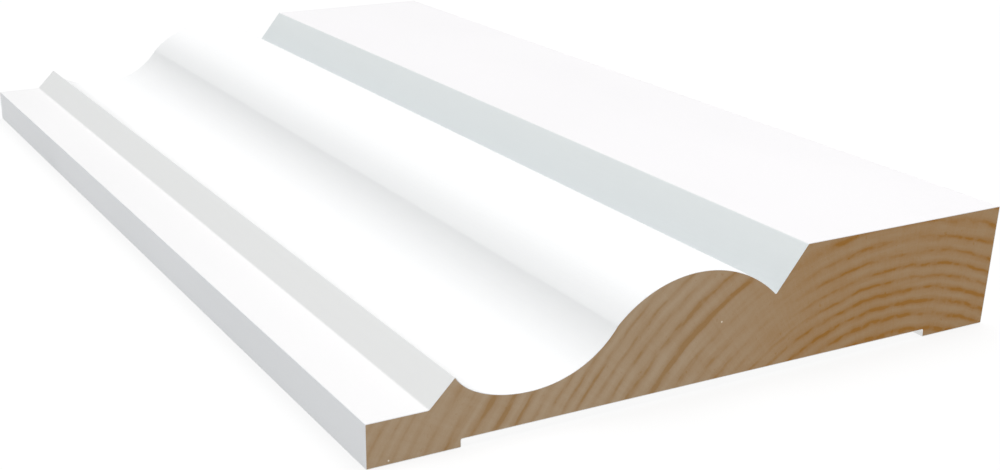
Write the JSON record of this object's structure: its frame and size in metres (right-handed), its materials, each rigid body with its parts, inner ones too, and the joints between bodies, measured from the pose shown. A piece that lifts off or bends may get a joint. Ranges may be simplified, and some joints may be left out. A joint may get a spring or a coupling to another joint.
{
  "type": "skirting board",
  "caption": "Short length of white-painted softwood skirting board with an ogee, bevel and fillet along its top, a plain lower face, a relieved back and square sawn ends.",
  "frame": {"origin": "centre of the back, half way along the length and the width, in the plane of the two lands that bear on the wall", "axes": "+X along the length, +Y from the floor edge to the moulded top edge, +Z out of the wall through the front face"},
  "size_m": [0.227, 0.119, 0.021],
  "materials": {
    "painted_pine": "factory-sprayed satin white paint on every long face, bare sawn pine end grain on both cut ends"
  },
  "bodies": {
    "root": {"skirting_board": "painted_pine"}
  },
  "joints": []
}
